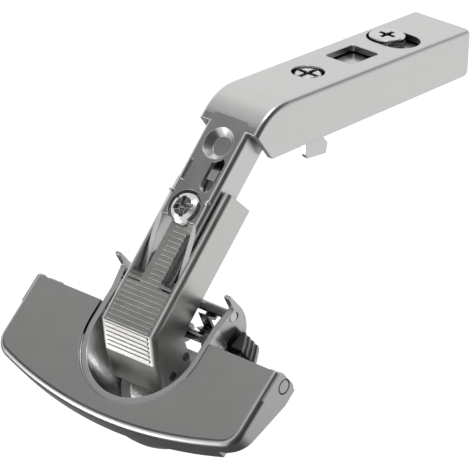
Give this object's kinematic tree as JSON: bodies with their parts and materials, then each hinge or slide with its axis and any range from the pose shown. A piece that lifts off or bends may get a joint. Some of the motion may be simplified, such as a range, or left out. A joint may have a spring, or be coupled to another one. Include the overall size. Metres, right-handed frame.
{
  "type": "folding door hinge",
  "caption": "Concealed hinge with a drilled-in round pot, a lift-up crescent fixing cover, a linkage and a bent channel arm with adjusting screws and a clip-on bracket.",
  "frame": {"origin": "axis of the round pot, in the plane of the door's face that the flange lies on", "axes": "+Z points out of the door, +X runs from the pot towards the arm, +Y runs along the hinge pins; the hinge is fully open at rest"},
  "size_m": [0.108, 0.062, 0.0465],
  "materials": {
    "cup_nickel": "satin nickel plate",
    "cover_nickel": "satin nickel plate, lightly mottled",
    "bracket_nickel": "bright nickel plate",
    "channel_nickel": "satin nickel plate",
    "arm_nickel": "fine satin nickel plate",
    "link_steel": "zinc plate",
    "bush_steel": "zinc plate",
    "spring_steel": "bright spring steel",
    "latch_nickel": "satin nickel plate",
    "pin_steel": "polished",
    "screw_bright": "bright plate",
    "jaw_steel": "dark hardened steel"
  },
  "bodies": {
    "cup": {"cup": "cup_nickel", "link_bracket": "bracket_nickel", "lever_pin_left": "pin_steel", "lever_pin_right": "pin_steel", "rear_cup_pin": "pin_steel", "front_cup_pin": "pin_steel", "pin_bush_left": "bush_steel", "pin_bush_right": "bush_steel", "closing_spring": "spring_steel"},
    "cover": {"cover_lever": "cover_nickel"},
    "left_jaw": {"jaw_left": "jaw_steel"},
    "right_jaw": {"jaw_right": "jaw_steel"},
    "inner_link": {"inner_link": "link_steel"},
    "outer_link": {"outer_link": "link_steel"},
    "channel": {"lower_channel": "channel_nickel", "inner_arm_pin": "pin_steel", "outer_arm_pin": "pin_steel"},
    "arm": {"bent_arm": "arm_nickel"},
    "depth_screw": {"spiral_screw": "screw_bright"},
    "clip": {"clip_bracket": "bracket_nickel", "latch_pin": "pin_steel"},
    "latch": {"clip_latch": "latch_nickel"},
    "side_screw": {"side_screw": "screw_bright"},
    "cam": {"cam_screw": "screw_bright"}
  },
  "joints": [
    {"name": "cover_lift", "type": "hinge", "parent": "cup", "child": "cover", "pos_m": [0.0009, 0, 0.0037], "axis": [0, 1, 0], "range_deg": [0, 90]},
    {"name": "left_jaw_slide", "type": "slide", "parent": "cup", "child": "left_jaw", "axis": [0, -1, 0], "range_m": [0, 0.0006]},
    {"name": "right_jaw_slide", "type": "slide", "parent": "cup", "child": "right_jaw", "axis": [0, 1, 0], "range_m": [0, 0.0006]},
    {"name": "inner_link_turn", "type": "hinge", "parent": "cup", "child": "inner_link", "pos_m": [0.00911, 0, 0.00574], "axis": [0, 1, 0], "range_deg": [-12.28, 0]},
    {"name": "arm_fold", "type": "hinge", "parent": "inner_link", "child": "channel", "pos_m": [-0.00066, 0, 0.0024], "axis": [0, 1, 0], "range_deg": [-47.73, 0]},
    {"name": "outer_link_turn", "type": "hinge", "parent": "cup", "child": "outer_link", "pos_m": [0.00367, 0, 0.00324], "axis": [0, 1, 0], "range_deg": [-44.64, 0]},
    {"name": "depth_slide", "type": "slide", "parent": "channel", "child": "arm", "axis": [0.9956, 0, 0.0941], "range_m": [-0.0015, 0.0015]},
    {"name": "depth_screw_turn", "type": "hinge", "parent": "arm", "child": "depth_screw", "pos_m": [0.022, 0, 0.01789], "axis": [-0.0941, 0, 0.9956], "range_deg": [-541, 541]},
    {"name": "clip_slide", "type": "slide", "parent": "arm", "child": "clip", "axis": [0.7272, 0, -0.6865], "range_m": [-0.0004, 0.0004]},
    {"name": "cam_turn", "type": "hinge", "parent": "clip", "child": "cam", "pos_m": [0.07784, 0.001, -0.01022], "axis": [0.6865, 0, 0.7272], "range_deg": [-42.5, 42.5]},
    {"name": "side_screw_turn", "type": "hinge", "parent": "clip", "child": "side_screw", "pos_m": [0.0593, 0, 0.00729], "axis": [0.6865, 0, 0.7272], "range_deg": [-360, 360]},
    {"name": "latch_turn", "type": "hinge", "parent": "clip", "child": "latch", "pos_m": [0.07967, 0, -0.01964], "axis": [0, 1, 0], "range_deg": [-20, 0], "stiffness_Nm_per_rad": 0.01, "springref_deg": 17.19}
  ],
  "couplings": [
    {"joint": "left_jaw_slide", "follows": "cover_lift", "m_per_rad": 0.00038197},
    {"joint": "right_jaw_slide", "follows": "cover_lift", "m_per_rad": 0.00038197},
    {"joint": "inner_link_turn", "follows": "arm_fold", "ratio": 0.25699},
    {"joint": "outer_link_turn", "follows": "arm_fold", "ratio": 0.93492},
    {"joint": "depth_screw_turn", "follows": "depth_slide", "rad_per_m": 6283.2},
    {"joint": "cam_turn", "follows": "clip_slide", "rad_per_m": 1824.3}
  ]
}
